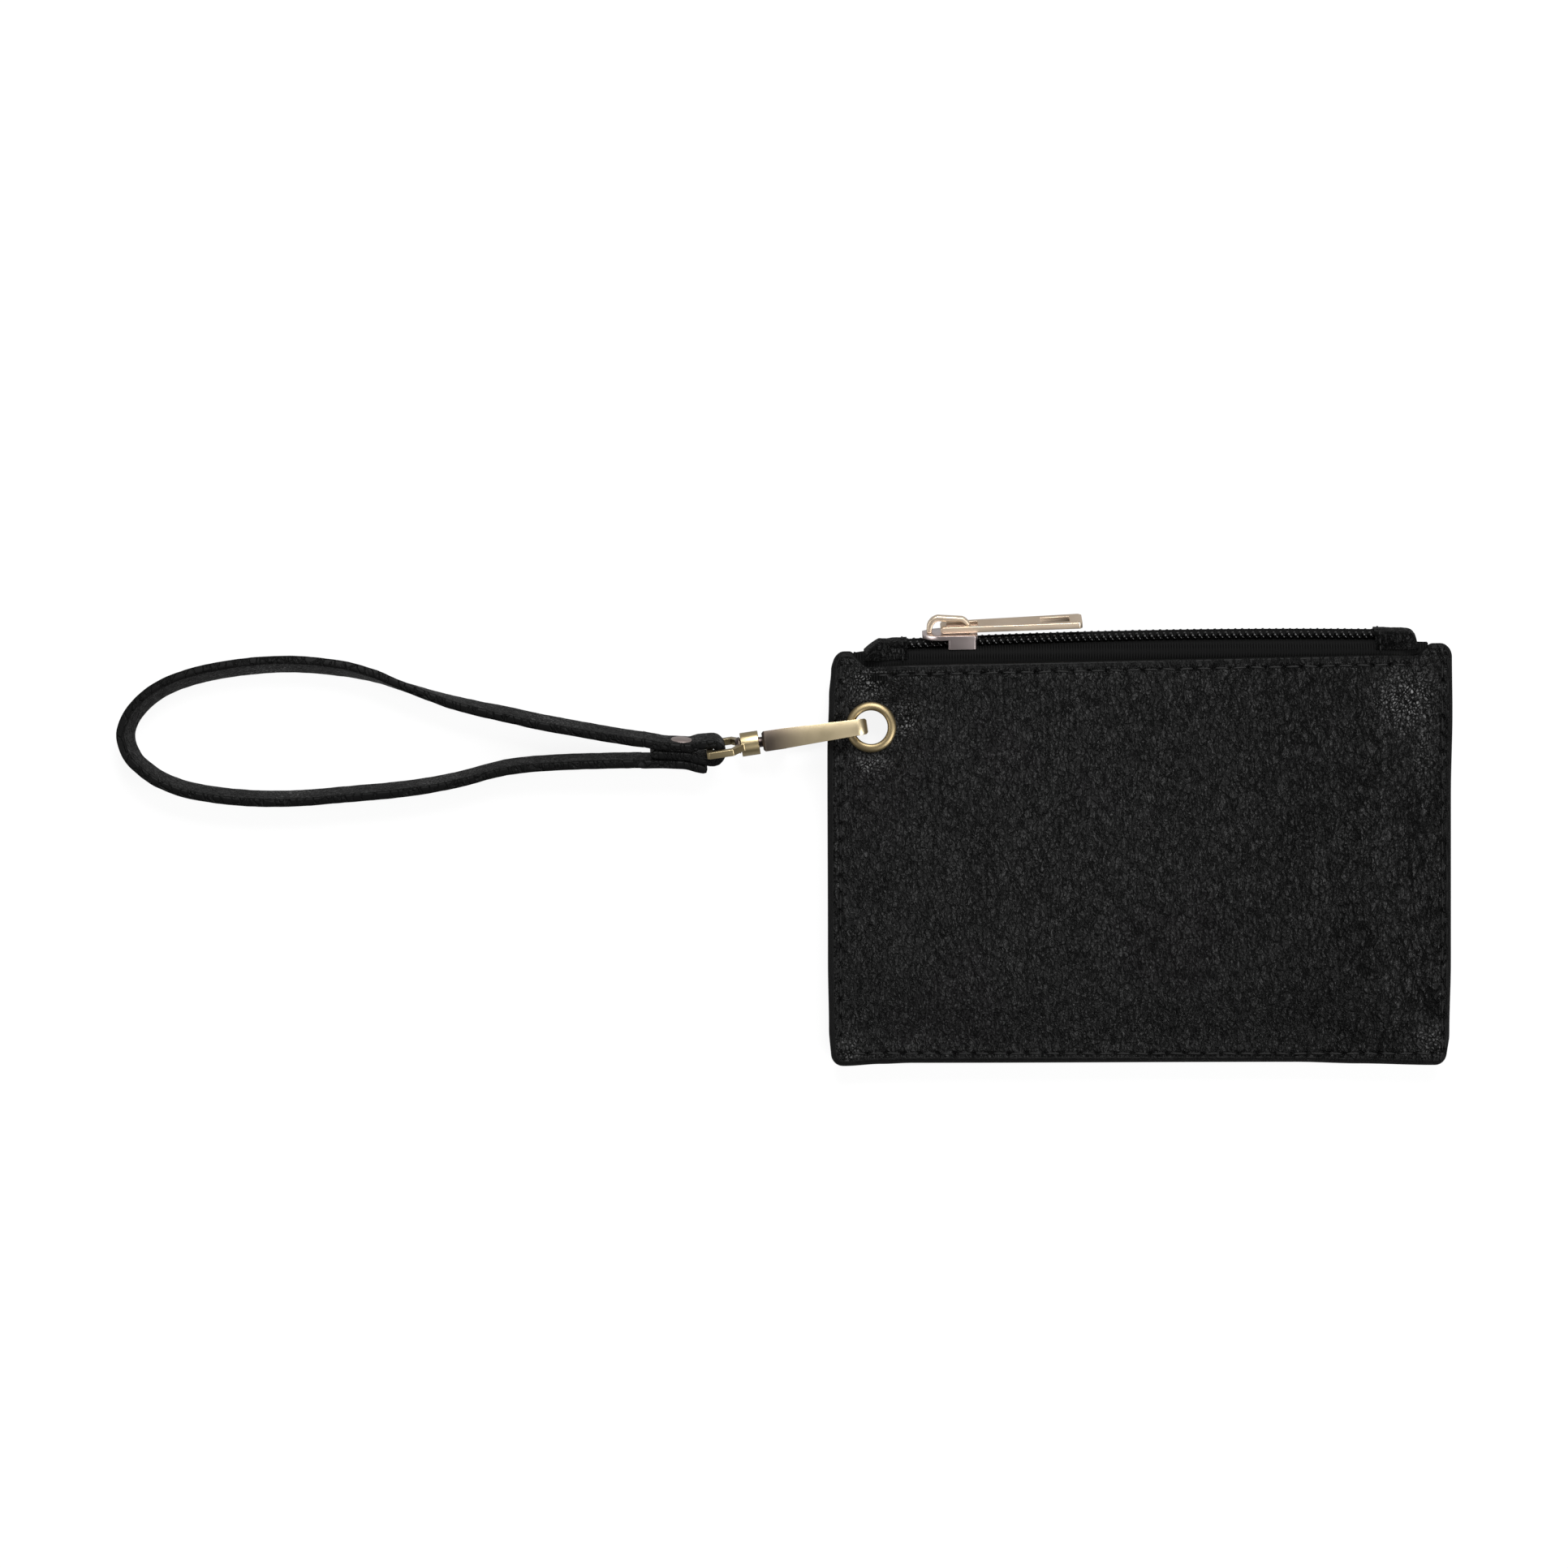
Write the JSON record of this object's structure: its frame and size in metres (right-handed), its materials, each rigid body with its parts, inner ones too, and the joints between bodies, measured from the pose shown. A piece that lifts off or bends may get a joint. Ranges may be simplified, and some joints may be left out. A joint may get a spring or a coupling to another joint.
{
  "type": "wristlet wallet",
  "caption": "Slim zipped leather pouch with a side eyelet, a swivel snap hook and a flat looped wrist strap.",
  "frame": {"origin": "middle of the pouch's back face, on the plane the wallet lies on", "axes": "+X along the zip, away from the wrist strap; +Y up the front panel, towards the zip; +Z out of the front panel"},
  "size_m": [0.2575, 0.0869, 0.0096],
  "materials": {
    "panel_skin": "grained, semi-matt, smooth painted edge",
    "stiffener": "plain fibre board",
    "lining": "plain woven",
    "zip_tape": "ribbed woven tape",
    "zip_coil": "moulded nylon coil, satin",
    "tab_leather": "grained, semi-matt",
    "eyelet_brass": "antique, softly worn",
    "thread": "waxed thread",
    "slider_metal": "nickel-like plate, satin",
    "pull_metal": "light antique plate, satin",
    "hook_metal": "antique plate, worn on the edges",
    "spring_steel": "bright",
    "gate_metal": "dark plate",
    "strap_leather": "grained both faces, smooth painted edges",
    "rivet_metal": "nickel-like plate, satin"
  },
  "bodies": {
    "pouch": {"front_panel": "panel_skin", "back_panel": "panel_skin", "front_stiffener": "stiffener", "back_stiffener": "stiffener", "front_lining": "lining", "back_lining": "lining", "zip_tape_front": "zip_tape", "zip_tape_back": "zip_tape", "zip_coil_front": "zip_coil", "zip_coil_back": "zip_coil", "zip_tab_left": "tab_leather", "zip_tab_right": "tab_leather", "eyelet_barrel": "eyelet_brass", "eyelet_washer": "eyelet_brass", "seam_thread_front": "thread", "seam_thread_back": "thread", "mouth_thread_front": "thread", "mouth_thread_back": "thread"},
    "slider": {"slider_body": "slider_metal", "slider_bail": "slider_metal"},
    "pull": {"pull_tab": "pull_metal"},
    "hook": {"hook_frame": "hook_metal", "swivel_post": "hook_metal", "gate_pin": "hook_metal", "gate_spring": "spring_steel"},
    "gate": {"gate_lever": "gate_metal"},
    "swivel": {"swivel_dring": "hook_metal"},
    "strap": {"wrist_strap": "strap_leather", "rivet_cap": "rivet_metal", "rivet_post": "rivet_metal"}
  },
  "joints": [
    {"name": "slider_travel", "type": "slide", "parent": "pouch", "child": "slider", "axis": [0.9998, 0.0209, 0], "range_m": [0, 0.076]},
    {"name": "pull_swing", "type": "hinge", "parent": "slider", "child": "pull", "pos_m": [-0.03804, 0.0442, 0.00559], "axis": [0.0058, -0.2756, 0.9613], "range_deg": [0, 170]},
    {"name": "hook_swing", "type": "hinge", "parent": "pouch", "child": "hook", "pos_m": [-0.0535, 0.0251, 0.0048], "axis": [0, 0, 1], "range_deg": [-30, 30]},
    {"name": "gate_open", "type": "hinge", "parent": "hook", "child": "gate", "pos_m": [-0.06972, 0.02268, 0.00105], "axis": [0.1478, -0.989, 0], "range_deg": [0, 4], "stiffness_Nm_per_rad": 0.004, "springref_deg": -17.19},
    {"name": "swivel_spin", "type": "hinge", "parent": "hook", "child": "swivel", "pos_m": [-0.07724, 0.02155, 0.0048], "axis": [0.989, 0.1478, 0], "continuous": true},
    {"name": "strap_swing", "type": "hinge", "parent": "swivel", "child": "strap", "pos_m": [-0.08307, 0.02068, 0.0048], "axis": [0.0407, -0.2726, 0.9613], "range_deg": [-40, 40]}
  ]
}
